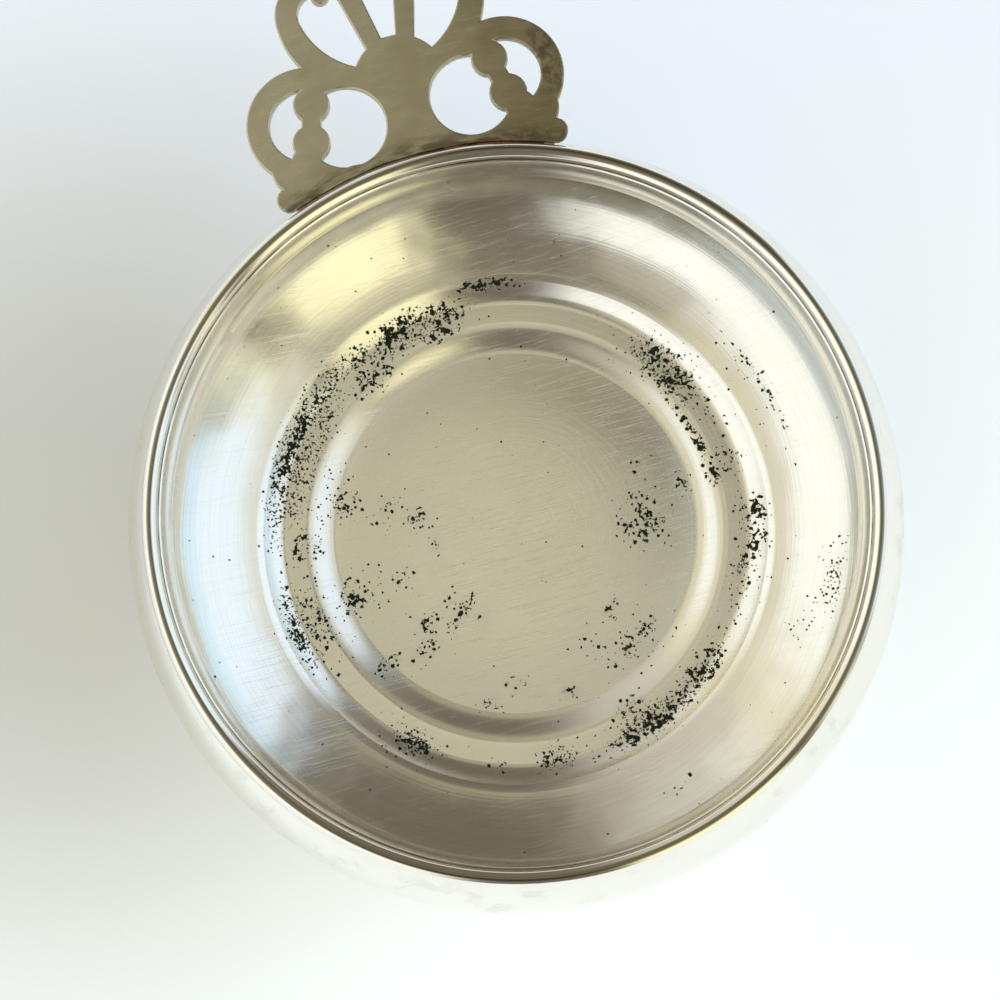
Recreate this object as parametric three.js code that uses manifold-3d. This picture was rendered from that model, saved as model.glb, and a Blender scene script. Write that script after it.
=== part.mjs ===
// A silver-plated porringer: a spun copper bowl, a rim wire, one flat pierced handle and its solder.
// Millimetres, +Z up. The origin is on the bowl's axis, in the face that it stands on.
// The handle points along +Y and the whole is alike on both sides of x = 0.
import * as THREE from 'three';
import { mergeVertices } from 'three/addons/utils/BufferGeometryUtils.js';
import Module from 'manifold-3d';

const wasm = await Module();
wasm.setup();

// Fit between pieces that meet along a curve
const CLEARANCE = 0.3;

// Bowl: overall sizes, radii measured inside the sheet
const WALL = 0.9;
const OVERALL_HEIGHT = 45;
const BELLY_RADIUS = 62.6;
const BELLY_HEIGHT = 22;

// Bowl: the two-step well, from the centre outward. A lean over 1 puts the steep part near the step's top
const FLOOR_RADIUS = 30.4;
const INNER_STEP_WIDTH = 7;
const INNER_STEP_RISE = 1.4;
const INNER_STEP_LEAN = 1.15;
const LEDGE_WIDTH = 2.8;
const OUTER_STEP_WIDTH = 4;
const OUTER_STEP_RISE = 1.9;

// Bowl: the wall from the well to the neck. A fullness is how far the curve keeps its direction
const WALL_FOOT_ANGLE = THREE.MathUtils.degToRad(11);
const WALL_FOOT_FULLNESS = 12;
const LOWER_BELLY_FULLNESS = 9;
const UPPER_BELLY_FULLNESS = 9.5;
const NECK_FULLNESS = 3.6;

// Rim: the wire and the lip that carries it
const RIM_RADIUS = 57;
const RIM_WIRE_WIDTH = 2.6;
const RIM_WIRE_HEIGHT = 1.7;
const RIM_WIRE_OVERHANG = 0.25;
const FLANGE_SHOW = 0.1;
const LIP_FLARE = 1.1;
const LIP_HEIGHT = 4.1;

// Handle: plate, and its base band along the rim
const HANDLE_THICKNESS = 1.5;
const HANDLE_DROP = 1.2;
const BAND_WIDTH = 4.2;
const BAND_HALF_ANGLE = THREE.MathUtils.degToRad(21.2);
const BAND_END_RADIUS = 1.9;
const BAND_END_REACH = 2.5;

// Handle, first tier: places are to one side of the middle and a reach beyond the rim
const SCROLL = { side: 16.05, reach: 9.25, radius: 9.35 };
const SCROLL_WIDTH = 3.65;
const SCROLL_ROOT = { side: 18.6, reach: 3, radius: 4.5 };
const ROUND_EYE_RADIUS = 6.4;
const ROUND_EYE_SIDE = 10.1;
const ROUND_EYE_BAND = 1.45;
const BALUSTER_TOP = { side: 14.4, reach: 12.3, radius: 2.9 };
const BALUSTER_MIDDLE = { side: 15.9, reach: 6.3, radius: 3 };
const BALUSTER_FOOT = { side: 17.2, reach: 3.7, radius: 2.5 };
const BALUSTER_WAIST = 3.1;
const HUB = { side: 0, reach: 12.6, radius: 7.3 };

// Handle, second tier: the arms, the shoulders where they turn in, and the crown round the keyhole
const ARM = { side: 1.7, reach: 26.05, radius: 15 };
const ARM_WIDTH = 3.5;
const ARM_OPENING_LEAD = 2.1;
const SHOULDER_RADIUS = 7;
const SHOULDER_EYE_RADIUS = 3.65;
const CUSP_RADIUS = 1.5;
const CUSP_SINK = 0.5;
const CUSP_ANGLE = THREE.MathUtils.degToRad(100);
const KEYHOLE_HEAD = { side: 0, reach: 34.7, radius: 5 };
const KEYHOLE_FOOT_WIDTH = 2.3;
const KEYHOLE_FLARE = 0.19;
const BAR_WIDTH = 3.1;
const BAR_FLARE = 0.066;
const CROWN_WIDTH = 4.6;
const CROWN_LEAD = 0.9;

// Solder under the handle, with its foot's height above the neck
const SOLDER_REACH = 2;
const SOLDER_END_ANGLE = THREE.MathUtils.degToRad(4);
const SOLDER_FOOT_HEIGHT = 1;

// Facets
const RING_SEGMENTS = 64;
const STEP_SEGMENTS = 8;
const WALL_SEGMENTS = 8;
const LIP_SEGMENTS = 4;
const WIRE_SEGMENTS = 8;
const FACET_LENGTH = 0.9;
const FEWEST_FACETS = 16;

// Heights, radii and angles that follow from the sizes above
const floorHeight = WALL;
const ledgeHeight = floorHeight + INNER_STEP_RISE;
const outerStepFootRadius = FLOOR_RADIUS + INNER_STEP_WIDTH + LEDGE_WIDTH;
const flangeHeight = OVERALL_HEIGHT - RIM_WIRE_HEIGHT;
const flangeRadius = RIM_RADIUS - RIM_WIRE_OVERHANG;
const wireInnerRadius = RIM_RADIUS - RIM_WIRE_WIDTH;
const lipRadius = wireInnerRadius - FLANGE_SHOW;
const neckRadius = lipRadius - LIP_FLARE;
const neckHeight = flangeHeight - LIP_HEIGHT;
const lipBend = LIP_HEIGHT / Math.sin(2 * Math.atan(LIP_FLARE / LIP_HEIGHT));
const handleTop = OVERALL_HEIGHT - HANDLE_DROP;
const handleBottom = handleTop - HANDLE_THICKNESS;
const handleBaseRadius = RIM_RADIUS + CLEARANCE;
const hubTop = HUB.reach + HUB.radius;

// Features of the handle that follow from others, on the hand +1
const scrollEye = { ...SCROLL, radius: SCROLL.radius - SCROLL_WIDTH };
const roundEyeDistance = handleBaseRadius + ROUND_EYE_BAND + ROUND_EYE_RADIUS;
const roundEye = atDistance(roundEyeDistance, ROUND_EYE_SIDE, ROUND_EYE_RADIUS);
const bandEndDistance = RIM_RADIUS + BAND_END_REACH;
const bandEnd = atDistance(bandEndDistance, bandEndDistance * Math.sin(BAND_HALF_ANGLE), BAND_END_RADIUS);
const armSide = ARM.side + ARM.radius;
const armOpening = { side: 0, reach: ARM.reach + ARM_OPENING_LEAD, radius: armSide - ARM_WIDTH };
const openingSide = Math.sqrt(armOpening.radius ** 2 - ARM_OPENING_LEAD ** 2);
const shoulder = { side: armSide - SHOULDER_RADIUS, reach: ARM.reach, radius: SHOULDER_RADIUS };
const shoulderEye = {
  side: openingSide - SHOULDER_EYE_RADIUS,
  reach: ARM.reach,
  radius: SHOULDER_EYE_RADIUS,
};
const cuspDistance = SHOULDER_EYE_RADIUS - CUSP_SINK;
const cusp = {
  side: shoulderEye.side + cuspDistance * Math.cos(CUSP_ANGLE),
  reach: shoulderEye.reach + cuspDistance * Math.sin(CUSP_ANGLE),
  radius: CUSP_RADIUS,
};
const crown = { side: 0, reach: KEYHOLE_HEAD.reach + CROWN_LEAD, radius: KEYHOLE_HEAD.radius + CROWN_WIDTH };
const solderHalfAngle = BAND_HALF_ANGLE - SOLDER_END_ANGLE;

// A feature that is set by its distance from the bowl's axis, so that it follows the rim's curve
function atDistance(distance, side, radius) {
  return { side, reach: Math.sqrt(distance ** 2 - side ** 2) - RIM_RADIUS, radius };
}

const point = (radius, height) => new THREE.Vector2(radius, height);

// Evenly spaced fractions, both ends included
const fractions = (count) => Array.from({ length: count + 1 }, (_, index) => index / count);

// The well's inner step: level at both ends, steep between them
function innerStep(radius, height) {
  return fractions(STEP_SEGMENTS).map((share) => {
    const lift = (1 - Math.cos(Math.PI * share ** INNER_STEP_LEAN)) / 2;
    return point(radius + INNER_STEP_WIDTH * share, height + INNER_STEP_RISE * lift);
  });
}

// The well's outer step: level at its foot, steepest at its crisp top edge
function outerStep(radius, height) {
  return fractions(STEP_SEGMENTS).map((share) => {
    const lift = 1 - Math.cos(Math.PI / 2 * share);
    return point(radius + OUTER_STEP_WIDTH * share, height + OUTER_STEP_RISE * lift);
  });
}

// The bowl's surface at a depth into the sheet: 0 is the inside and WALL the outside
function bowlSurface(depth) {
  // A sloping stretch moves outward as it sinks, so that the sheet keeps its thickness there
  const outward = depth * Math.tan(Math.PI / 8);
  const well = [
    point(0, floorHeight - depth),
    ...innerStep(FLOOR_RADIUS + outward, floorHeight - depth),
    ...outerStep(outerStepFootRadius + outward, ledgeHeight - depth),
  ];
  const foot = well.at(-1);
  const footLead = point(Math.cos(WALL_FOOT_ANGLE), Math.sin(WALL_FOOT_ANGLE));
  const lowerWall = new THREE.CubicBezierCurve(
    foot,
    footLead.multiplyScalar(WALL_FOOT_FULLNESS).add(foot),
    point(BELLY_RADIUS + depth, BELLY_HEIGHT - LOWER_BELLY_FULLNESS),
    point(BELLY_RADIUS + depth, BELLY_HEIGHT),
  ).getPoints(WALL_SEGMENTS);
  const upperWall = new THREE.CubicBezierCurve(
    point(BELLY_RADIUS + depth, BELLY_HEIGHT),
    point(BELLY_RADIUS + depth, BELLY_HEIGHT + UPPER_BELLY_FULLNESS + outward),
    point(neckRadius + depth, neckHeight - NECK_FULLNESS + outward),
    point(neckRadius + depth, neckHeight),
  ).getPoints(WALL_SEGMENTS);
  const lip = lipArc(depth, 0);
  const flangeEdge = point(flangeRadius, flangeHeight - depth);
  return [...well, ...lowerWall.slice(1), ...upperWall.slice(1), ...lip.slice(1), flangeEdge];
}

// The lip at a depth into the sheet: an arc, upright at the neck, from a height above the neck to the flange
function lipArc(depth, startHeight) {
  const bend = lipBend - depth;
  const start = Math.asin(startHeight / bend);
  const sweep = Math.asin((LIP_HEIGHT - depth) / bend) - start;
  return fractions(LIP_SEGMENTS).map((share) => {
    const angle = start + sweep * share;
    return point(neckRadius + lipBend - bend * Math.cos(angle), neckHeight + bend * Math.sin(angle));
  });
}

// A profile of radius and height turned about the Z axis
function turned(profile) {
  return new THREE.LatheGeometry(profile, RING_SEGMENTS).rotateX(Math.PI / 2);
}

function bowlGeometry() {
  return turned([...bowlSurface(WALL), ...bowlSurface(0).reverse()]);
}

function rimWireGeometry() {
  const middle = (wireInnerRadius + RIM_RADIUS) / 2;
  const round = fractions(WIRE_SEGMENTS).map((share) => {
    const angle = share * Math.PI;
    const across = RIM_WIRE_WIDTH / 2 * Math.cos(angle);
    return point(middle + across, flangeHeight + RIM_WIRE_HEIGHT * Math.sin(angle));
  });
  return turned([...round, round[0].clone()]);
}

// A closed mesh as a solid that can be joined and cut
function solidOf(geometry) {
  const bare = geometry.clone();
  bare.deleteAttribute('normal');
  bare.deleteAttribute('uv');
  const welded = mergeVertices(bare);
  return new wasm.Manifold(new wasm.Mesh({
    numProp: 3,
    vertProperties: Float32Array.from(welded.attributes.position.array),
    triVerts: Uint32Array.from(welded.index.array),
  }));
}

function geometryOf(solid) {
  const { vertProperties, triVerts } = solid.getMesh();
  const geometry = new THREE.BufferGeometry();
  geometry.setAttribute('position', new THREE.BufferAttribute(vertProperties, 3));
  geometry.setIndex(new THREE.BufferAttribute(triVerts, 1));
  geometry.computeVertexNormals();
  return geometry;
}

const joined = (solids) => solids.reduce((whole, solid) => whole.add(solid));
const without = (solid, cutters) => solid.subtract(joined(cutters));
const onBothSides = (make) => [-1, 1].map(make);

// An outline in the plate's plane, as thick as the plate or taller by a margin at each face
function slab(outline, margin) {
  const options = { depth: HANDLE_THICKNESS + 2 * margin, bevelEnabled: false };
  const geometry = new THREE.ExtrudeGeometry(new THREE.Shape(outline), options);
  return solidOf(geometry.translate(0, 0, handleBottom - margin));
}

const plate = (outline) => slab(outline, 0);
const cutter = (outline) => slab(outline, HANDLE_THICKNESS);

// Points of an arc about a centre, both ends included
function arc(centre, radius, start, end) {
  const sweep = end - start;
  const count = Math.max(FEWEST_FACETS, Math.ceil(Math.abs(sweep) * radius / FACET_LENGTH));
  return fractions(count).map((share) => {
    const angle = start + sweep * share;
    return new THREE.Vector2(centre.x + radius * Math.cos(angle), centre.y + radius * Math.sin(angle));
  });
}

const circle = (centre, radius) => arc(centre, radius, 0, 2 * Math.PI).slice(0, -1);

// A place in the plate: to one side of the middle, on the hand -1 or 1, and beyond the rim
const place = (side, reach, hand = 1) => new THREE.Vector2(hand * side, RIM_RADIUS + reach);

// The round outline of one feature of the handle
const disc = ({ side, reach, radius }, hand) => circle(place(side, reach, hand), radius);

// The band along the rim, cut to its curve
function bandOutline() {
  const start = Math.PI / 2 - BAND_HALF_ANGLE;
  const end = Math.PI / 2 + BAND_HALF_ANGLE;
  const inner = arc(new THREE.Vector2(), handleBaseRadius, start, end);
  const outer = arc(new THREE.Vector2(), RIM_RADIUS + BAND_WIDTH, start, end);
  return [...inner.reverse(), ...outer];
}

// A strip of even width between two places
function strip(from, to, width) {
  const along = to.clone().sub(from).normalize();
  const across = new THREE.Vector2(-along.y, along.x).multiplyScalar(width / 2);
  return [from.clone().sub(across), to.clone().sub(across), to.clone().add(across), from.clone().add(across)];
}

// A wedge on the middle line, of a given width at the hub's top, that widens towards the keyhole's head
function wedge(width, flare, footReach) {
  const halfWidth = (reach) => width / 2 + flare * (reach - hubTop);
  const foot = halfWidth(footReach);
  const head = halfWidth(KEYHOLE_HEAD.reach);
  return [
    place(-foot, footReach),
    place(foot, footReach),
    place(head, KEYHOLE_HEAD.reach),
    place(-head, KEYHOLE_HEAD.reach),
  ];
}

// First tier: the base band with its round ends, the paired scrolls, and the hub on its stem
function lowerTier() {
  const rounds = [bandEnd, SCROLL_ROOT, SCROLL];
  return joined([
    plate(bandOutline()),
    plate(strip(place(0, 0), place(HUB.side, HUB.reach), 2 * HUB.radius)),
    ...rounds.flatMap((feature) => onBothSides((hand) => plate(disc(feature, hand)))),
  ]);
}

// Second tier: two arms that turn in at the shoulders and meet in the crown, with the hub and its two bars
function upperTier() {
  const above = cutter(strip(place(0, ARM.reach), place(0, ARM.reach + 2 * ARM.radius), 4 * ARM.radius));
  const opening = cutter(disc(armOpening, 1));
  const arms = joined(onBothSides((hand) => plate(disc(ARM, hand))));
  const shoulders = joined([...onBothSides((hand) => plate(disc(shoulder, hand))), plate(disc(crown, 1))]);
  const shoulderEyes = onBothSides((hand) => cutter(disc(shoulderEye, hand)));
  const barsWidth = KEYHOLE_FOOT_WIDTH + 2 * BAR_WIDTH;
  return joined([
    without(arms, [opening, above]),
    without(shoulders, [opening.subtract(above), ...shoulderEyes]),
    plate(disc(HUB, 1)),
    plate(wedge(barsWidth, KEYHOLE_FLARE + BAR_FLARE, HUB.reach)),
  ]);
}

// The small forms that stand inside the openings: a baluster in each scroll and a cusp at each shoulder
function insets(hand) {
  const [top, middle] = [BALUSTER_TOP, BALUSTER_MIDDLE].map(({ side, reach }) => place(side, reach, hand));
  return [
    ...[BALUSTER_TOP, BALUSTER_MIDDLE, BALUSTER_FOOT, cusp].map((feature) => plate(disc(feature, hand))),
    plate(strip(middle, top, BALUSTER_WAIST)),
  ];
}

function handleGeometry() {
  const pierced = without(joined([lowerTier(), upperTier()]), [
    ...[roundEye, scrollEye].flatMap((feature) => onBothSides((hand) => cutter(disc(feature, hand)))),
    cutter(wedge(KEYHOLE_FOOT_WIDTH, KEYHOLE_FLARE, hubTop)),
    cutter(disc(KEYHOLE_HEAD, 1)),
  ]);
  const whole = joined([pierced, ...onBothSides(insets).flat()]);
  return geometryOf(without(whole, [cutter(circle(new THREE.Vector2(), handleBaseRadius))]));
}

// The solder fills the corner under the handle, against the outside of the lip
function solderGeometry() {
  const gapDepth = WALL + CLEARANCE;
  const underFlange = flangeHeight - gapDepth;
  const section = [
    ...lipArc(gapDepth, SOLDER_FOOT_HEIGHT).reverse(),
    point(handleBaseRadius + SOLDER_REACH, handleBottom),
    point(RIM_RADIUS, handleBottom),
    point(RIM_RADIUS, underFlange),
  ];
  const ring = solidOf(turned([...section, section[0].clone()]));
  const far = 2 * RIM_RADIUS;
  const sector = [
    new THREE.Vector2(),
    new THREE.Vector2(far * Math.sin(solderHalfAngle), far * Math.cos(solderHalfAngle)),
    new THREE.Vector2(-far * Math.sin(solderHalfAngle), far * Math.cos(solderHalfAngle)),
  ];
  const options = { depth: OVERALL_HEIGHT, bevelEnabled: false };
  const sectorGeometry = new THREE.ExtrudeGeometry(new THREE.Shape(sector), options);
  return geometryOf(ring.intersect(solidOf(sectorGeometry)));
}

function piece(name, geometry, color, roughness, metalness) {
  const material = new THREE.MeshStandardMaterial({ color, roughness, metalness });
  const mesh = new THREE.Mesh(geometry, material);
  mesh.name = name;
  return mesh;
}

const porringer = new THREE.Group();
porringer.add(
  piece('bowl', bowlGeometry(), 0xc9c4b2, 0.25, 1),
  piece('rim_wire', rimWireGeometry(), 0xc2bca8, 0.22, 1),
  piece('pierced_handle', handleGeometry(), 0xa59d84, 0.35, 1),
  piece('handle_solder', solderGeometry(), 0x6b6152, 0.6, 0.8),
);

export default porringer;
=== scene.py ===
"""The looks of a silver-plated porringer, in metres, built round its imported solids."""
import math

import bmesh
import bpy
from mathutils import Matrix, Vector


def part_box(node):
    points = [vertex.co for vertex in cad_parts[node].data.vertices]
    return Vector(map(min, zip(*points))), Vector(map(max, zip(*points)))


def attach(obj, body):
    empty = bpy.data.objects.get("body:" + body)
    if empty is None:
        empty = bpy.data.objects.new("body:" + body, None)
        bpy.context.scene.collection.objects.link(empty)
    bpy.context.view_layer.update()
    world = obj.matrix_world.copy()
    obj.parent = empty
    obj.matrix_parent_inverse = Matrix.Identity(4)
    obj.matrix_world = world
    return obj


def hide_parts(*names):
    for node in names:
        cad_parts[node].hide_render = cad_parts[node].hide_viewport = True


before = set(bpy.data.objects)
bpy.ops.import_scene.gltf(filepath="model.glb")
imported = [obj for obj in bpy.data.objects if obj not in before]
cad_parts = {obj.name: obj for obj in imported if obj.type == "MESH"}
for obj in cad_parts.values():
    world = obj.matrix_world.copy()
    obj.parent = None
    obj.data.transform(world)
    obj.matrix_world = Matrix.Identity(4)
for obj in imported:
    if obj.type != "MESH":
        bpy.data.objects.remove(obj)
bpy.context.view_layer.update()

MILLIMETRES = 1000
DEGREES = 180 / math.pi

# Sizes that the solids give
wire_low, wire_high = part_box("rim_wire")
handle_low, handle_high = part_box("pierced_handle")
rim_radius = wire_high.x
overall_height = wire_high.z
flange_height = wire_low.z
handle_top = handle_high.z
handle_bottom = handle_low.z

# Bowl, as in the solids: radii inside the sheet
WALL = 0.0009
BELLY_RADIUS = 0.0626
BELLY_HEIGHT = 0.022
FLOOR_RADIUS = 0.0304
INNER_STEP_WIDTH = 0.007
INNER_STEP_RISE = 0.0014
INNER_STEP_LEAN = 1.15
LEDGE_WIDTH = 0.0028
OUTER_STEP_WIDTH = 0.004
OUTER_STEP_RISE = 0.0019
WALL_FOOT_ANGLE = math.radians(11)
WALL_FOOT_FULLNESS = 0.012
LOWER_BELLY_FULLNESS = 0.009
UPPER_BELLY_FULLNESS = 0.0095
NECK_FULLNESS = 0.0036
LIP_FLARE = 0.0011
LIP_HEIGHT = 0.0041
BEND_SPREAD = math.tan(math.pi / 8)

# Only in the looks: the well's floor is a little domed, as worn sheet is
FLOOR_DOME = 0.0003
FLOOR_DOME_POWER = 5

# Rim wire
WIRE_WIDTH = 0.0026
WIRE_OVERHANG = 0.00025
WIRE_UNDERCUT = math.radians(14)
FLANGE_SHOW = 0.0001

# Handle and its solder
HANDLE_EDGE_ROUND = 0.00025
SEAM_GAP = 0.0003
SEAM_SINK = 0.0002
SOLDER_REACH = 0.0020
SOLDER_HALF_ANGLE = math.radians(19.5)
SOLDER_FOOT_HEIGHT = 0.001
SOLDER_HOLLOW = 0.36
SOLDER_RIPPLES = [(0.12, 17, 0), (0.08, 41, 1)]

# How finely the pieces are divided
RING_STEPS = 288
FLOOR_STEPS = 40
STEP_STEPS = 20
WALL_STEPS = 28
LIP_STEPS = 14
WIRE_STEPS = 24
SOLDER_STEPS = 60
HANDLE_EDGE_STEPS = 3

# Inside the bowl, the well's inner step starts late, in a crease that has points close on both sides
CREASE_STEP = 4
CREASE_SHARE = 0.003

# How the flat faces of the handle are told from its edges, and points that are one and the same
MERGE_DISTANCE = 1e-7
UPWARD = 0.9
LEVEL = 0.999

# Radii and heights that follow
ledge_height = WALL + INNER_STEP_RISE
outer_step_radius = FLOOR_RADIUS + INNER_STEP_WIDTH + LEDGE_WIDTH
flange_radius = rim_radius - WIRE_OVERHANG
wire_inner_radius = rim_radius - WIRE_WIDTH
lip_radius = wire_inner_radius - FLANGE_SHOW
neck_radius = lip_radius - LIP_FLARE
neck_height = flange_height - LIP_HEIGHT
lip_bend = LIP_HEIGHT / math.sin(2 * math.atan(LIP_FLARE / LIP_HEIGHT))
handle_base_radius = rim_radius + SEAM_GAP

# Corrosion inside the bowl: azimuth and its spread in degrees, radius and its spread in millimetres, and
# how much of the plate is eaten there. Blots are coarse, specks fine. Stray specks lie all over the inside.
BLOT_PATCHES = [
    (158, 8, 17.5, 2, 0.6), (173, 9, 14.3, 1.6, 0.4), (155, 7, 23.4, 2.2, 0.55), (186, 9, 21.6, 2.6, 0.4),
    (221, 5, 17, 3.8, 0.8), (213, 9, 17, 3.6, 0.3), (235, 7, 16.4, 2.4, 0.4), (212, 4, 22.5, 2, 0.8),
    (218, 4, 25.5, 3.2, 0.7), (212, 3.5, 32.4, 3, 0.7), (187, 7, 30.6, 2.4, 0.75), (155, 7, 30, 4, 0.5),
    (170, 5, 36.5, 3.4, 0.65), (190, 10, 39.5, 4.2, 0.6), (96, 6, 38.2, 2.4, 0.85), (104, 15, 41, 2.4, 1.0),
    (117, 7, 37, 2.2, 0.7), (82, 8, 43.8, 0.9, 1.15), (230, 5, 41.4, 1.9, 0.95), (251, 3, 41.4, 1.4, 0.7),
    (265.5, 4, 40.2, 2.2, 1.0), (289, 9, 41.2, 1.5, 1.3), (307, 8, 40.8, 1.9, 1.1), (288, 5, 36.5, 2.2, 0.6),
    (255, 6, 26.5, 1.3, 0.6), (274, 3.5, 29.7, 1.3, 0.75), (247, 6, 30.4, 2.4, 0.4), (306, 6, 21.5, 1, 0.85),
    (303, 13, 29, 3.8, 0.5), (307, 8, 28.2, 0.9, 0.8), (289, 12, 22.5, 3.4, 0.3), (349, 10, 22.4, 4.2, 0.75),
    (1, 5, 22, 3, 0.65), (11, 9, 24.4, 2.6, 0.4), (2, 4.5, 30.4, 1.6, 0.65), (2, 5, 36.2, 1.6, 0.95),
    (16, 12, 35.8, 0.9, 0.85), (33, 10, 39, 3, 1.05), (5, 8, 39.2, 2.4, 0.6), (350, 4, 42, 2.4, 0.9),
    (342, 4, 42.3, 2.2, 0.75), (335, 14, 40.5, 2.6, 0.4), (16, 16, 50, 0.9, 0.5), (289, 5, 52, 1.4, 0.3),
]
SPECK_PATCHES = [
    (142, 25, 42, 2, 1.25), (145, 24, 39.4, 3, 0.8), (104, 19, 40, 3, 0.7), (190, 12, 42.2, 1.4, 0.9),
    (188, 14, 38, 5, 0.4), (157, 14, 34, 3, 0.35), (340, 24, 41, 3, 0.4), (335, 8, 55, 2.4, 0.5),
    (327, 6, 51.6, 1.8, 0.4), (15, 17, 48.5, 3.2, 0.22), (298, 20, 27, 6, 0.22), (30, 16, 38.5, 4, 0.6),
    (295, 22, 40.5, 2.6, 0.7), (350, 14, 23, 5.4, 0.35), (217, 11, 19, 7, 0.25), (160, 14, 20, 6.4, 0.22),
    (186, 10, 27, 6.4, 0.25), (230, 10, 41, 3, 0.5), (266, 7, 40, 3, 0.6),
]
STRAY_SPECKS = 0.072


class Socket:
    """An output in a node tree. Arithmetic with numbers and other outputs adds Math nodes."""

    def __init__(self, tree, output=None):
        self.tree = tree
        self.output = output

    def node(self, kind, settings, inputs, output=0):
        """Any node: its type, its settings, then the values or links of its sockets"""
        made = self.tree.nodes.new("ShaderNode" + kind)
        for name, value in settings.items():
            setattr(made, name, value)
        for name, value in inputs.items():
            if isinstance(value, Socket):
                self.tree.links.new(value.output, made.inputs[name])
            else:
                made.inputs[name].default_value = value
        return Socket(self.tree, made.outputs[output])

    def math(self, operation, *values):
        return self.node("Math", {"operation": operation}, dict(enumerate((self, *values))))

    def __add__(self, other):
        return self.math("ADD", other)

    def __mul__(self, other):
        return self.math("MULTIPLY", other)

    def __sub__(self, other):
        return self.math("SUBTRACT", other)

    def __rsub__(self, other):
        return (self * -1) + other

    def __truediv__(self, other):
        return self.math("DIVIDE", other)

    __radd__ = __add__
    __rmul__ = __mul__

    def sibling(self, output):
        """Another output of the same node"""
        return Socket(self.tree, self.output.node.outputs[output])

    def largest(self, other):
        return self.math("MAXIMUM", other)

    def above(self, level, blur):
        """1 where this is over a level and 0 under it, with a soft edge"""
        limits = {"Value": self, "From Min": level - blur, "From Max": level + blur}
        return self.node("MapRange", {"interpolation_type": "SMOOTHSTEP"}, limits)

    def within(self, middle, reach, blur):
        """1 near a middle value and 0 beyond a reach from it, with a soft edge"""
        return 1 - (self - middle).math("ABSOLUTE").above(reach, blur)

    def mix(self, first, second):
        """A colour between two, by this share of the second"""
        return self.node("Mix", {"data_type": "RGBA"}, {0: self, 6: first, 7: second}, 2)


def fractions(count):
    return [index / count for index in range(count + 1)]


def opaque(red, green, blue):
    return (red, green, blue, 1)


def inner_step(radius, height, first):
    """The well's inner step, from the crease that the floor meets it in: steep, then level at its top"""
    crease, *rest = fractions(STEP_STEPS)[first:]
    shares = [crease, crease + CREASE_SHARE, *rest]
    lifts = [(share, (1 - math.cos(math.pi * share ** INNER_STEP_LEAN)) / 2) for share in shares]
    return [(radius + INNER_STEP_WIDTH * share, height + INNER_STEP_RISE * lift) for share, lift in lifts]


def outer_step(radius, height):
    """The well's outer step: level at its foot, steepest at its crisp top edge"""
    lifts = [(share, 1 - math.cos(math.pi / 2 * share)) for share in fractions(STEP_STEPS)]
    return [(radius + OUTER_STEP_WIDTH * share, height + OUTER_STEP_RISE * lift) for share, lift in lifts]


def well_floor(radius, height, dome):
    """The well's floor, which may rise a little towards its middle, with a last point close to its edge"""
    shares = [*fractions(FLOOR_STEPS)[:-1], 1 - CREASE_SHARE]
    return [(radius * share, height + dome * (1 - share ** FLOOR_DOME_POWER)) for share in shares]


def cubic(points, share):
    """A point of a cubic curve with four control points"""
    rest = 1 - share
    weights = (rest ** 3, 3 * rest ** 2 * share, 3 * rest * share ** 2, share ** 3)
    return tuple(sum(weight * point[axis] for weight, point in zip(weights, points)) for axis in (0, 1))


def lip_arc(depth, start_height):
    """The lip at a depth into the sheet: an arc from a height above the neck to the flange"""
    bend = lip_bend - depth
    start = math.asin(start_height / bend)
    sweep = math.asin((LIP_HEIGHT - depth) / bend) - start
    angles = [start + sweep * share for share in fractions(LIP_STEPS)]
    centre = neck_radius + lip_bend
    return [(centre - bend * math.cos(angle), neck_height + bend * math.sin(angle)) for angle in angles]


def bowl_surface(depth, crease_step, dome):
    """The bowl's profile at a depth into the sheet, from the axis to the flange"""
    outward = depth * BEND_SPREAD
    inner = inner_step(FLOOR_RADIUS + outward, WALL - depth, crease_step)
    outer = outer_step(outer_step_radius + outward, ledge_height - depth)
    foot = outer[-1]
    lower_wall = [
        foot,
        (
            foot[0] + WALL_FOOT_FULLNESS * math.cos(WALL_FOOT_ANGLE),
            foot[1] + WALL_FOOT_FULLNESS * math.sin(WALL_FOOT_ANGLE),
        ),
        (BELLY_RADIUS + depth, BELLY_HEIGHT - LOWER_BELLY_FULLNESS),
        (BELLY_RADIUS + depth, BELLY_HEIGHT),
    ]
    upper_wall = [
        lower_wall[-1],
        (BELLY_RADIUS + depth, BELLY_HEIGHT + UPPER_BELLY_FULLNESS + outward),
        (neck_radius + depth, neck_height - NECK_FULLNESS + outward),
        (neck_radius + depth, neck_height),
    ]
    return [
        *well_floor(*inner[0], dome),
        *inner,
        *outer,
        *[cubic(lower_wall, share) for share in fractions(WALL_STEPS)[1:]],
        *[cubic(upper_wall, share) for share in fractions(WALL_STEPS)[1:]],
        *lip_arc(depth, 0)[1:],
        (flange_radius, flange_height - depth),
    ]


def add_piece(name, mesh, slot, *nodes):
    """A finished mesh as a piece of the object that stands for solids"""
    piece = bpy.data.objects.new(name, mesh)
    bpy.context.scene.collection.objects.link(piece)
    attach(piece, "root")
    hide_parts(*nodes)
    return piece


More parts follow.
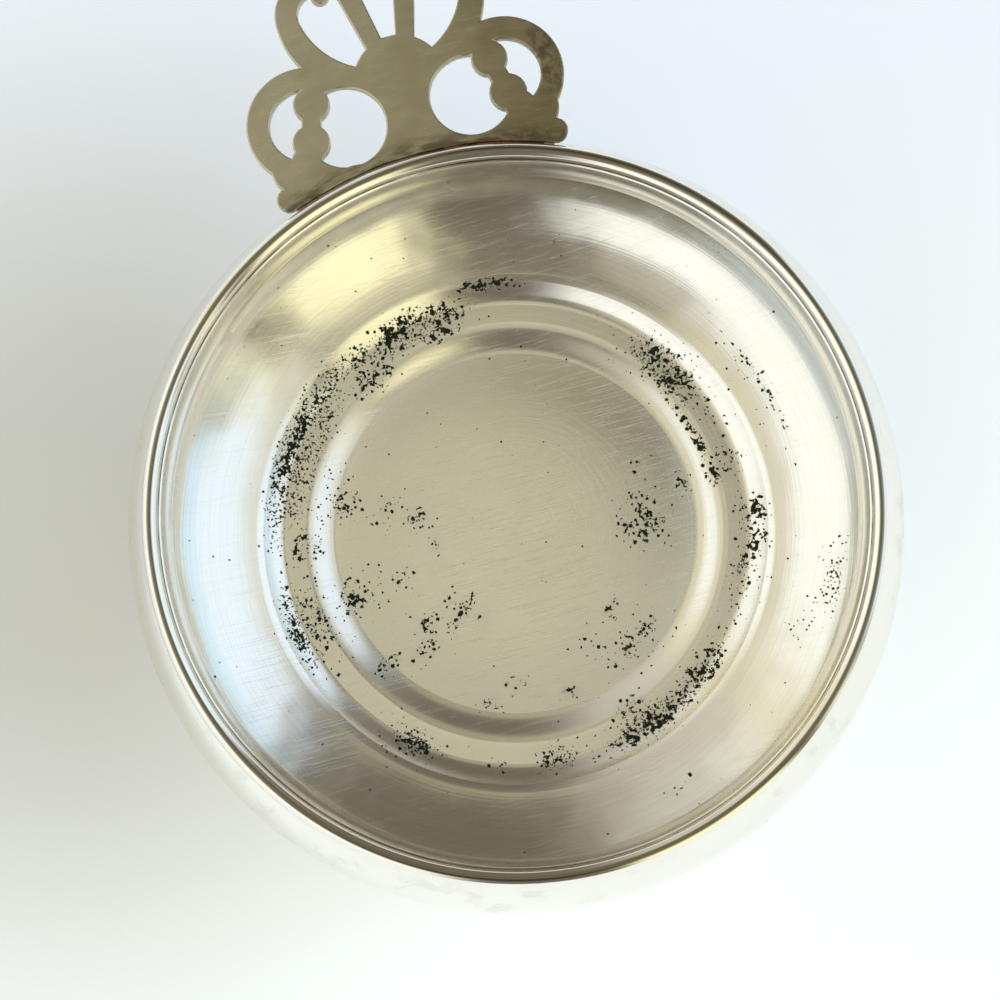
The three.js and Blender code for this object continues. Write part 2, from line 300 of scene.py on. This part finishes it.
def turned(name, profile, closed):
    """A mesh from a profile of radius and height, turned about the Z axis"""
    vertices = []
    rings = []
    for radius, height in profile:
        first = len(vertices)
        if radius == 0:
            vertices.append((0, 0, height))
            rings.append([first] * RING_STEPS)
            continue
        for step in range(RING_STEPS):
            angle = 2 * math.pi * step / RING_STEPS
            vertices.append((radius * math.cos(angle), radius * math.sin(angle), height))
        rings.append(list(range(first, first + RING_STEPS)))
    faces = []
    following = rings[1:] + rings[:1] if closed else rings[1:]
    for ring, after in zip(rings, following):
        for step in range(RING_STEPS):
            onward = (step + 1) % RING_STEPS
            corners = (ring[step], ring[onward], after[onward], after[step])
            faces.append(tuple(dict.fromkeys(corners)))
    mesh = bpy.data.meshes.new(name)
    mesh.from_pydata(vertices, [], faces)
    tidy_mesh(mesh)
    return mesh


def tidy_mesh(mesh):
    """Faces pointing out and smooth shading"""
    shape = bmesh.new()
    shape.from_mesh(mesh)
    bmesh.ops.recalc_face_normals(shape, faces=shape.faces)
    shape.to_mesh(mesh)
    shape.free()
    mesh.shade_smooth()


def patch_cover(patches, least, azimuth, radius):
    """How much corrosion the patches put at a place: the most that any of them gives"""
    cover = least
    for middle, spread, distance, width, amount in patches:
        turn = (azimuth - middle + 180) % 360 - 180
        away = (turn / spread) ** 2 + ((radius - distance) / width) ** 2
        cover = max(cover, amount * math.exp(-away))
    return cover


def mark_corrosion(mesh, inside):
    """Keeps each point's share of blots and specks on the mesh, for the finish to read"""
    for name, patches, least in (("blots", BLOT_PATCHES, 0), ("specks", SPECK_PATCHES, STRAY_SPECKS)):
        layer = mesh.attributes.new(name, "FLOAT", "POINT")
        for vertex in mesh.vertices:
            radius = MILLIMETRES * math.hypot(vertex.co.x, vertex.co.y)
            azimuth = math.degrees(math.atan2(vertex.co.y, vertex.co.x))
            if vertex.index in inside and vertex.co.z < BELLY_HEIGHT:
                layer.data[vertex.index].value = patch_cover(patches, least, azimuth, radius)


def make_bowl():
    """The sheet shell. Its first point, on the axis, is a single vertex"""
    outside = bowl_surface(WALL, 0, 0)
    inside = bowl_surface(0, CREASE_STEP, FLOOR_DOME)
    mesh = turned("bowl_shell", [*outside, *reversed(inside)], closed=False)
    first_inside = 1 + (len(outside) - 1) * RING_STEPS
    mark_corrosion(mesh, range(first_inside, len(mesh.vertices)))
    mesh.materials.append(bowl_finish())
    add_piece("bowl_shell", mesh, "bowl_plate", "bowl")


def make_rim_bead():
    """The wire on the flange, tucked in a little where it meets the lip"""
    middle = (wire_inner_radius + rim_radius) / 2
    start = -WIRE_UNDERCUT
    sweep = math.pi + 2 * WIRE_UNDERCUT
    dip = math.sin(WIRE_UNDERCUT)
    height = (overall_height - flange_height) / (1 + dip)
    profile = []
    for share in fractions(WIRE_STEPS):
        angle = start + sweep * share
        lift = height * (math.sin(angle) + dip)
        profile.append((middle + WIRE_WIDTH / 2 * math.cos(angle), flange_height + lift))
    mesh = turned("rim_bead", profile, closed=True)
    mesh.materials.append(rim_finish())
    add_piece("rim_bead", mesh, "rim_plate", "rim_wire")


def outline_loops(node):
    """The closed loops of points round the top face of a flat solid"""
    shape = bmesh.new()
    shape.from_mesh(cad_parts[node].data)
    bmesh.ops.remove_doubles(shape, verts=shape.verts, dist=MERGE_DISTANCE)
    top = {face for face in shape.faces if face.normal.z > UPWARD}
    border = dict.fromkeys(edge for edge in shape.edges if len(top.intersection(edge.link_faces)) == 1)
    loops = []
    while border:
        edge = border.popitem()[0]
        first, vertex = edge.verts
        loop = [first.co.copy()]
        while vertex != first:
            loop.append(vertex.co.copy())
            edge = next(link for link in vertex.link_edges if link in border)
            del border[edge]
            vertex = edge.other_vert(vertex)
        loops.append(loop)
    shape.free()
    return loops


def make_handle():
    """The pierced plate with its edges rounded all along the outline and the openings"""
    curve = bpy.data.curves.new("handle_outline", "CURVE")
    curve.dimensions = "2D"
    curve.fill_mode = "BOTH"
    curve.bevel_depth = HANDLE_EDGE_ROUND
    curve.bevel_resolution = HANDLE_EDGE_STEPS
    curve.offset = -HANDLE_EDGE_ROUND
    curve.extrude = (handle_top - handle_bottom) / 2 - HANDLE_EDGE_ROUND
    for loop in outline_loops("pierced_handle"):
        spline = curve.splines.new("POLY")
        spline.points.add(len(loop) - 1)
        spline.use_cyclic_u = True
        for point, place in zip(spline.points, loop):
            point.co = (place.x, place.y, 0, 1)
    outline = bpy.data.objects.new("handle_outline", curve)
    bpy.context.scene.collection.objects.link(outline)
    depsgraph = bpy.context.evaluated_depsgraph_get()
    mesh = bpy.data.meshes.new_from_object(outline.evaluated_get(depsgraph))
    bpy.data.objects.remove(outline)
    mesh.name = "handle_plate"
    mesh.transform(Matrix.Translation((0, 0, (handle_top + handle_bottom) / 2)))
    shape = bmesh.new()
    shape.from_mesh(mesh)
    bmesh.ops.remove_doubles(shape, verts=shape.verts, dist=MERGE_DISTANCE)
    bmesh.ops.recalc_face_normals(shape, faces=shape.faces)
    for face in shape.faces:
        face.smooth = abs(face.normal.z) < LEVEL
    shape.to_mesh(mesh)
    shape.free()
    mesh.materials.clear()
    mesh.materials.append(handle_finish())
    add_piece("handle_plate", mesh, "handle_plate", "pierced_handle")


def solder_section(fullness):
    """The solder's section: against the lip, into the seam, under the handle, and a hollow outer side"""
    lip = lip_arc(WALL, SOLDER_FOOT_HEIGHT)
    foot_radius, foot_height = lip[0]
    reach = handle_base_radius + SOLDER_REACH * fullness
    hollow_radius = foot_radius + SOLDER_HOLLOW * (reach - foot_radius)
    hollow_height = handle_bottom - SOLDER_HOLLOW * (handle_bottom - foot_height)
    return [
        *lip,
        (flange_radius, flange_height - WALL),
        (flange_radius, flange_height),
        (rim_radius, handle_top - SEAM_SINK),
        (handle_base_radius, handle_top - SEAM_SINK),
        (handle_base_radius, handle_bottom),
        (reach, handle_bottom),
        (hollow_radius, hollow_height),
    ]


def make_solder():
    """The run under the handle, with a slight ripple along its outer side"""
    sections = []
    for share in fractions(SOLDER_STEPS):
        angle = math.pi / 2 + SOLDER_HALF_ANGLE * (2 * share - 1)
        ripple = sum(size * math.sin(pace * share + start) for size, pace, start in SOLDER_RIPPLES)
        across, along = math.cos(angle), math.sin(angle)
        section = solder_section(1 + ripple)
        sections.append([(radius * across, radius * along, height) for radius, height in section])
    count = len(sections[0])
    vertices = [point for section in sections for point in section]
    faces = [tuple(range(count)), tuple(range(len(vertices) - count, len(vertices)))]
    for ring in range(SOLDER_STEPS):
        for step in range(count):
            onward = (step + 1) % count
            low = ring * count
            faces.append((low + step, low + onward, low + count + onward, low + count + step))
    mesh = bpy.data.meshes.new("solder_run")
    mesh.from_pydata(vertices, [], faces)
    tidy_mesh(mesh)
    mesh.materials.append(solder_finish())
    add_piece("solder_run", mesh, "solder", "handle_solder")


def new_finish(name):
    """A material with nothing but its shader, and a place to start its nodes from"""
    finish = bpy.data.materials.new(name)
    finish.use_nodes = True
    shader = finish.node_tree.nodes["Principled BSDF"]
    return finish, shader, Socket(finish.node_tree)


def connect(finish, shader, **sockets):
    """Links outputs to the shader's sockets, named with underscores for spaces"""
    for name, value in sockets.items():
        finish.node_tree.links.new(value.output, shader.inputs[name.replace("_", " ")])


def place_in_millimetres(plan):
    place = plan.node("TexCoord", {}, {}, "Object")
    return plan.node("VectorMath", {"operation": "SCALE"}, {0: place, "Scale": MILLIMETRES})


def axes_of(place):
    return [place.node("SeparateXYZ", {}, {"Vector": place}, axis) for axis in "XYZ"]


def radius_of(place):
    x, y, z = axes_of(place)
    return (x * x + y * y).math("SQRT")


def grain(place, size, detail=2, roughness=0.5):
    """Cloudy noise whose features have about a given size, in millimetres"""
    inputs = {"Vector": place, "Scale": 1 / size, "Detail": detail, "Roughness": roughness}
    return place.node("TexNoise", {"noise_dimensions": "3D"}, inputs)


# Wear and corrosion, as shares of a pattern's own size or of its range
SCRATCH_UPRIGHT_SCALE = 0.05
SCRATCH_EDGE = 0.03
DOT_GRAIN = 0.35
DOT_RAGGEDNESS = 0.5
DOT_CHANCE = (0.06, 0.002)
DOT_SMALLEST = 0.13
DOT_GROWTH = 0.26
DOT_EDGE = 0.04
CRUST_CLUMP = 4
CRUST_CLUMP_LEVEL = (0.5, 0.12)
CRUST_SPREAD = 0.17
CRUST_LEVEL = (0.665, 0.015)
CRUST_LEAST_SHARE = (0.3, 0.02)


def scratches(place, turn, length, width, share):
    """Fine scratches along one direction: 1 on a scratch and 0 beside it"""
    stretch = (1 / length, 1 / width, SCRATCH_UPRIGHT_SCALE)
    inputs = {"Vector": place, "Rotation": (0, 0, math.radians(turn)), "Scale": stretch}
    along = place.node("Mapping", {}, inputs)
    lines = place.node("TexNoise", {"noise_dimensions": "3D"}, {"Vector": along, "Scale": 1, "Detail": 1})
    return lines.above(1 - share, SCRATCH_EDGE)


def dots(place, size, share):
    """Small round pits with ragged edges, more of them where their share is higher"""
    jitter = grain(place, DOT_GRAIN * size, 2).sibling("Color")
    reach = (DOT_RAGGEDNESS * size,) * 3
    ragged = place.node("VectorMath", {"operation": "MULTIPLY_ADD"}, {0: jitter, 1: reach, 2: place})
    inputs = {"Vector": ragged, "Scale": 1 / size}
    cells = place.node("TexVoronoi", {"voronoi_dimensions": "2D"}, inputs, "Distance")
    chance, growth = axes_of(cells.sibling("Color"))[:2]
    present = (share - chance).above(*DOT_CHANCE)
    return present * ((DOT_SMALLEST + DOT_GROWTH * growth * growth) - cells).above(0, DOT_EDGE)


def crusts(place, size, share):
    """Ragged crusts in clumps, where pits run together"""
    clumps = 0.5 + grain(place, CRUST_CLUMP * size, 2).above(*CRUST_CLUMP_LEVEL)
    ragged = grain(place, size, 3, 0.6)
    return (ragged + CRUST_SPREAD * share * clumps).above(*CRUST_LEVEL) * share.above(*CRUST_LEAST_SHARE)


def bump(plan, height):
    """The surface's normal from a height in millimetres"""
    inputs = {"Height": height, "Distance": 1 / MILLIMETRES, "Strength": 1}
    return plan.node("Bump", {}, inputs, "Normal")


def spin_lines(place):
    """Rings left by spinning and polishing, from -0.5 to 0.5"""
    x, y, z = axes_of(place)
    angle = y.math("ARCTAN2", x)
    rings = place.node("CombineXYZ", {}, {"X": radius_of(place) * 3, "Y": angle * 2, "Z": z * 3})
    lines = place.node("TexNoise", {"noise_dimensions": "3D"}, {"Vector": rings, "Scale": 1, "Detail": 3})
    return lines - 0.5


# Colours of the finishes. Where there are two, a varying share of the second is mixed in.
BOWL_SILVERS = (opaque(0.93, 0.91, 0.865), opaque(0.81, 0.78, 0.70))
BOWL_FILM = opaque(0.60, 0.60, 0.50)
CRUST_BLACKS = (opaque(0.032, 0.026, 0.013), opaque(0.022, 0.036, 0.019))
CRUST_SPECULAR = 0.05
RIM_SILVERS = (opaque(0.91, 0.89, 0.83), opaque(0.87, 0.83, 0.74))
# A painted dark reflection for the crest of the rim's bead
RIM_CREST_DARK_REFLECTION = opaque(0.13, 0.11, 0.07)
RIM_DIRT = opaque(0.05, 0.042, 0.03)
HANDLE_OLIVES = (opaque(0.56, 0.52, 0.39), opaque(0.31, 0.265, 0.165))
HANDLE_STAIN = opaque(0.09, 0.062, 0.035)
SOLDER_GREYS = (opaque(0.36, 0.34, 0.29), opaque(0.07, 0.05, 0.035))
SOLDER_MOTTLE = opaque(0.12, 0.10, 0.07)
SOLDER_COPPER = opaque(0.42, 0.14, 0.08)
SOLDER_METALLIC = 0.8


def bowl_finish():
    """Worn silver plate: satin, scratched, with blackened corrosion where food and salt have stood"""
    finish, shader, plan = new_finish("bowl_plate")
    place = place_in_millimetres(plan)
    radius = radius_of(place)
    cloud = grain(place, 14, 3)
    blot_share = plan.node("Attribute", {"attribute_name": "blots"}, {}, "Fac")
    speck_share = plan.node("Attribute", {"attribute_name": "specks"}, {}, "Fac")
    crust = crusts(place, 0.9, blot_share).largest(crusts(place, 0.6, 0.8 * speck_share))
    for size, share in ((1, blot_share), (1.6, 0.5 * (blot_share - 0.4)), (0.6, 0.9 * speck_share)):
        crust = crust.largest(dots(place, size, share))
    film = blot_share.largest(speck_share) * cloud
    rings = spin_lines(place)
    wall = radius.above(MILLIMETRES * outer_step_radius + 6, 4)
    smudge = radius.above(MILLIMETRES * BELLY_RADIUS - 4, 1) * grain(place, 6, 3).above(0.62, 0.08)
    fine = scratches(place, 24, 9, 0.16, 0.3)
    for turn in (-38, 81):
        fine = fine.largest(scratches(place, turn, 12, 0.14, 0.3))
    marked = fine * (1 - 0.5 * radius.above(MILLIMETRES * FLOOR_RADIUS + 2, 4))
    tone = 0.25 * cloud + 0.35 * marked + (0.25 + 0.9 * wall) * rings + 0.1
    silver = tone.mix(*BOWL_SILVERS)
    dulled = (0.6 * film).largest(0.25 * smudge).mix(silver, BOWL_FILM)
    black = grain(place, 5).above(0.5, 0.15).mix(*CRUST_BLACKS)
    satin = grain(place, 0.35, 2)
    gloss = 0.1 + 0.06 * cloud + 0.1 * satin + 0.12 * marked + 0.12 * film + 0.15 * smudge + 0.4 * crust
    waves = 0.22 * wall * grain(place, 11, 1)
    height = (0.006 + 0.008 * wall) * rings + waves - 0.004 * marked - 0.02 * crust
    colour = crust.mix(dulled, black)
    connect(finish, shader, Base_Color=colour, Roughness=gloss, Metallic=1 - crust)
    connect(finish, shader, Normal=bump(plan, height))
    shader.inputs["Specular IOR Level"].default_value = CRUST_SPECULAR
    return finish


def rim_finish():
    """Silver plate with a painted dark reflection along its crest, with tarnish left in the crease inside
    the bead
    """
    finish, shader, plan = new_finish("rim_plate")
    place = place_in_millimetres(plan)
    radius = radius_of(place)
    cloud = grain(place, 9, 3)
    crease = 1 - radius.above(MILLIMETRES * wire_inner_radius + 0.06, 0.05)
    outer_foot = radius.above(MILLIMETRES * rim_radius - 0.04, 0.03)
    dirt = crease.largest(outer_foot) * grain(place, 6, 2).above(0.35, 0.2)
    # Painted reflection: a dark band along the crest of the bead
    crest_reflection = radius.within(MILLIMETRES * (wire_inner_radius + rim_radius) / 2, 0.35, 0.16)
    silver = cloud.mix(*RIM_SILVERS)
    marked = (0.85 * crest_reflection).mix(silver, RIM_CREST_DARK_REFLECTION)
    colour = dirt.mix(marked, RIM_DIRT)
    gloss = 0.11 + 0.06 * cloud + 0.3 * dirt
    height = 0.003 * spin_lines(place) + 0.02 * grain(place, 12, 1)
    connect(finish, shader, Base_Color=colour, Roughness=gloss, Normal=bump(plan, height))
    shader.inputs["Metallic"].default_value = 1
    return finish


def handle_finish():
    """Satin plate gone olive grey, with brown streaks along the joint and on the arm of one scroll"""
    finish, shader, plan = new_finish("handle_plate")
    place = place_in_millimetres(plan)
    x, y, z = axes_of(place)
    radius = radius_of(place)
    cloud = grain(place, 6, 4)
    along = plan.node("CombineXYZ", {}, {"X": radius / 1.3, "Y": y.math("ARCTAN2", x) * 11})
    streaks = plan.node("TexNoise", {}, {"Vector": along, "Scale": 1, "Detail": 4, "Roughness": 0.6})
    joint = (1 - radius.above(MILLIMETRES * handle_base_radius + 1.6, 1.8)) * streaks.above(0.5, 0.1)
    mottle = grain(place, 1.2, 3).above(0.5, 0.14)
    scroll_arm = 0.8 * x.within(23, 2.2, 1.6) * y.within(67, 6, 4) * mottle
    band_end = x.above(13, 4) * (1 - radius.above(MILLIMETRES * handle_base_radius + 2, 2)) * mottle
    stain = joint.largest(scroll_arm).largest(band_end)
    fine = scratches(place, 10, 6, 0.12, 0.32).largest(scratches(place, 100, 8, 0.12, 0.32))
    near_joint = 1 - radius.above(MILLIMETRES * handle_base_radius + 3, 4)
    brown = 0.7 * x.above(10, 14) + 0.4 * near_joint + 0.3 * cloud.above(0.5, 0.2) + 0.5 * (streaks - 0.5)
    plate = brown.mix(*HANDLE_OLIVES)
    colour = (0.85 * stain).mix(plate, HANDLE_STAIN)
    gloss = 0.24 + 0.08 * cloud + 0.14 * fine + 0.15 * stain
    height = 0.03 * grain(place, 8, 2) - 0.004 * fine + 0.006 * grain(place, 0.4, 2)
    connect(finish, shader, Base_Color=colour, Roughness=gloss, Normal=bump(plan, height))
    shader.inputs["Metallic"].default_value = 1
    return finish


def solder_finish():
    """Dull solder: blackened, with bare copper red in the seam on one side of the middle"""
    finish, shader, plan = new_finish("solder")
    place = place_in_millimetres(plan)
    x, y, z = axes_of(place)
    cloud = grain(place, 1.8, 3)
    dark_side = x.above(-2, 4)
    copper = x.within(9, 6, 3) * z.above(MILLIMETRES * handle_bottom + 0.3, 0.2) * cloud.above(0.45, 0.1)
    dull = dark_side.mix(*SOLDER_GREYS)
    mottled = (0.5 * cloud).mix(dull, SOLDER_MOTTLE)
    colour = copper.mix(mottled, SOLDER_COPPER)
    gloss = 0.4 + 0.2 * cloud
    connect(finish, shader, Base_Color=colour, Roughness=gloss, Normal=bump(plan, 0.06 * cloud))
    shader.inputs["Metallic"].default_value = SOLDER_METALLIC
    return finish


# Light: soft panels round the object, by azimuth, half width, soft edge and the tilt from straight up at
# which they start, all in degrees, and their colour. Later ones lie over earlier ones.
PANELS = [
    (75, 32, 8, 13, opaque(0.40, 0.36, 0.24)),
    (75, 32, 8, 27, opaque(0.16, 0.14, 0.105)),
    (108, 18, 8, 15, opaque(0.62, 0.60, 0.52)),
    (125, 14, 6, 38, opaque(0.88, 0.88, 0.80)),
    (-69, 15, 3, 14, opaque(0.75, 0.70, 0.47)),
    (-69, 15, 3, 25, opaque(1.26, 1.20, 0.76)),
    (-36, 8, 3, 14, opaque(0.80, 0.78, 0.58)),
    (-36, 8, 3, 25, opaque(0.98, 0.97, 0.72)),
    (0, 31, 4, 13.5, opaque(0.84, 0.86, 0.78)),
    (0, 31, 4, 26, opaque(0.96, 1.10, 1.24)),
    (0, 31, 4, 58, opaque(0.76, 1.00, 1.16)),
    (-31, 5, 4, 44, opaque(0.48, 0.51, 0.43)),
    (165, 44, 8, 13.5, opaque(0.88, 0.82, 0.55)),
    (172, 40, 6, 19.5, opaque(0.70, 0.67, 0.52)),
    (172, 40, 6, 27, opaque(1.14, 1.16, 1.09)),
    (222, 14, 8, 20, opaque(0.50, 0.47, 0.37)),
    (222, 22, 6, 38, opaque(1.14, 1.16, 1.09)),
]
PANEL_TOP_EDGE = 2.5
OVERHEAD = (0.0186, 0.0848, 0.9962)
OVERHEAD_REACH = 5.2
OVERHEAD_EDGE = 0.8
OVERHEAD_COLOUR = opaque(0.66, 0.63, 0.455)
RING_COLOURS = (opaque(0.52, 0.50, 0.38), opaque(0.09, 0.08, 0.045))
RING_DARK_SIDE = 32
RING_DARK_HALF_WIDTH = 48
RING_DARK_EDGE = 18
GAP_COLOUR = opaque(0.15, 0.13, 0.10)
GAP_TILT = 13

# The horizon lights the object with the first colour. The camera sees the second, also in metal and glass.
HORIZON_COLOUR = opaque(0.85, 0.88, 0.90)
HORIZON_SEEN = opaque(0.97, 0.985, 1.0)
HORIZON_TILT = 80
HORIZON_EDGE = 4


def seen_rays(plan):
    """1 for what the camera sees, straight or in metal and glass, and 0 for light on the object"""
    rays = plan.node("LightPath", {}, {}, "Is Camera Ray")
    return rays.largest(rays.sibling("Is Glossy Ray")).largest(rays.sibling("Is Transmission Ray"))


def turn_from(azimuth, middle):
    """How far an azimuth is from a middle one, in degrees from -180 to 180"""
    return (azimuth - middle).math("WRAP", 180, -180)


def light_studio():
    """A soft studio: a tan patch overhead, panels to the sides with darker gaps between, a pale horizon"""
    world = bpy.data.worlds.new("studio")
    bpy.context.scene.world = world
    world.use_nodes = True
    plan = Socket(world.node_tree)
    towards = plan.node("TexCoord", {}, {}, "Generated")
    x, y, z = axes_of(towards)
    azimuth = y.math("ARCTAN2", x) * DEGREES
    tilt = z.math("ARCCOSINE") * DEGREES
    beside = towards.node("VectorMath", {"operation": "DOT_PRODUCT"}, {0: towards, 1: OVERHEAD}, "Value")
    overhead_tilt = beside.math("ARCCOSINE") * DEGREES
    overhead_azimuth = (y - OVERHEAD[1]).math("ARCTAN2", x - OVERHEAD[0]) * DEGREES
    dark_turn = turn_from(overhead_azimuth, RING_DARK_SIDE)
    ring = dark_turn.within(0, RING_DARK_HALF_WIDTH, RING_DARK_EDGE).mix(*RING_COLOURS)
    colour = overhead_tilt.above(OVERHEAD_REACH, OVERHEAD_EDGE).mix(OVERHEAD_COLOUR, ring)
    colour = tilt.above(GAP_TILT, PANEL_TOP_EDGE).mix(colour, GAP_COLOUR)
    for middle, half_width, edge, start, panel in PANELS:
        turn = turn_from(azimuth, middle)
        share = turn.within(0, half_width, edge) * tilt.above(start, PANEL_TOP_EDGE)
        colour = share.mix(colour, panel)
    horizon = seen_rays(plan).mix(HORIZON_COLOUR, HORIZON_SEEN)
    colour = tilt.above(HORIZON_TILT, HORIZON_EDGE).mix(colour, horizon)
    background = world.node_tree.nodes["Background"]
    world.node_tree.links.new(colour.output, background.inputs["Color"])


# Floor: its size in metres, then in millimetres where its painted shadow lies and where painted shade turns
# it darker and cooler
FLOOR_SIZE = 8.0
FLOOR_GLOW = 0.42
FLOOR_SHADE_PLACE = (-78, 22, 0)
FLOOR_SHADE_REACH = 70
FLOOR_SHADE_EDGE = 55
FLOOR_COOL_SHADE_SPAN = (10, 75)
FLOOR_SHADED = opaque(0.53, 0.535, 0.51)
FLOOR_PAPER_AND_COOL_SHADE = (opaque(0.89, 0.94, 0.98), opaque(0.77, 0.825, 0.925))
FLOOR_ROUGHNESS = 0.9


def make_floor():
    """Pale paper with a painted shadow beside the bowl and painted shade that turns it darker and cooler
    towards the handle. To the camera and in reflections it is lifted towards white, and keeps its shadows
    """
    finish, shader, plan = new_finish("floor_paper")
    place = place_in_millimetres(plan)
    # Painted shadow: the paper is darker round a place beside the bowl
    away = place.node("VectorMath", {"operation": "DISTANCE"}, {0: place, 1: FLOOR_SHADE_PLACE}, "Value")
    shade = away.above(FLOOR_SHADE_REACH, FLOOR_SHADE_EDGE)
    x, y, z = axes_of(place)
    # Painted shade: away from that shadow, the paper turns darker and cooler towards the handle
    colour = shade.mix(FLOOR_SHADED, y.above(*FLOOR_COOL_SHADE_SPAN).mix(*FLOOR_PAPER_AND_COOL_SHADE))
    glow = seen_rays(plan).mix(opaque(0, 0, 0), colour)
    connect(finish, shader, Base_Color=colour, Emission_Color=glow)
    shader.inputs["Emission Strength"].default_value = FLOOR_GLOW
    shader.inputs["Roughness"].default_value = FLOOR_ROUGHNESS
    shader.inputs["Specular IOR Level"].default_value = 0
    half = FLOOR_SIZE / 2
    mesh = bpy.data.meshes.new("floor")
    corners = [(-half, -half, 0), (half, -half, 0), (half, half, 0), (-half, half, 0)]
    mesh.from_pydata(corners, [], [(0, 1, 2, 3)])
    mesh.materials.append(finish)
    floor = bpy.data.objects.new("floor", mesh)
    bpy.context.scene.collection.objects.link(floor)


CAMERA_PLACE = Vector((-0.0059, -0.0269, 0.3168))
CAMERA_TARGET = Vector((-0.00122, 0.00616, 0))
PICTURE_UP_AZIMUTH = math.radians(75.1)
CAMERA_LENS = 64.8
CAMERA_SENSOR = 36


def place_camera():
    """Nearly straight above, turned so that the handle points up and a little to the left"""
    data = bpy.data.cameras.new("camera")
    data.lens = CAMERA_LENS
    data.sensor_width = CAMERA_SENSOR
    camera = bpy.data.objects.new("camera", data)
    bpy.context.scene.collection.objects.link(camera)
    forward = (CAMERA_TARGET - CAMERA_PLACE).normalized()
    upward = Vector((math.cos(PICTURE_UP_AZIMUTH), math.sin(PICTURE_UP_AZIMUTH), 0))
    across = forward.cross(upward).normalized()
    axes = Matrix((across, across.cross(forward), -forward)).transposed()
    camera.matrix_world = Matrix.Translation(CAMERA_PLACE) @ axes.to_4x4()
    bpy.context.scene.camera = camera


place_camera()
make_bowl()
make_rim_bead()
make_handle()
make_solder()
make_floor()
light_studio()
bpy.context.scene.view_settings.view_transform = "Standard"
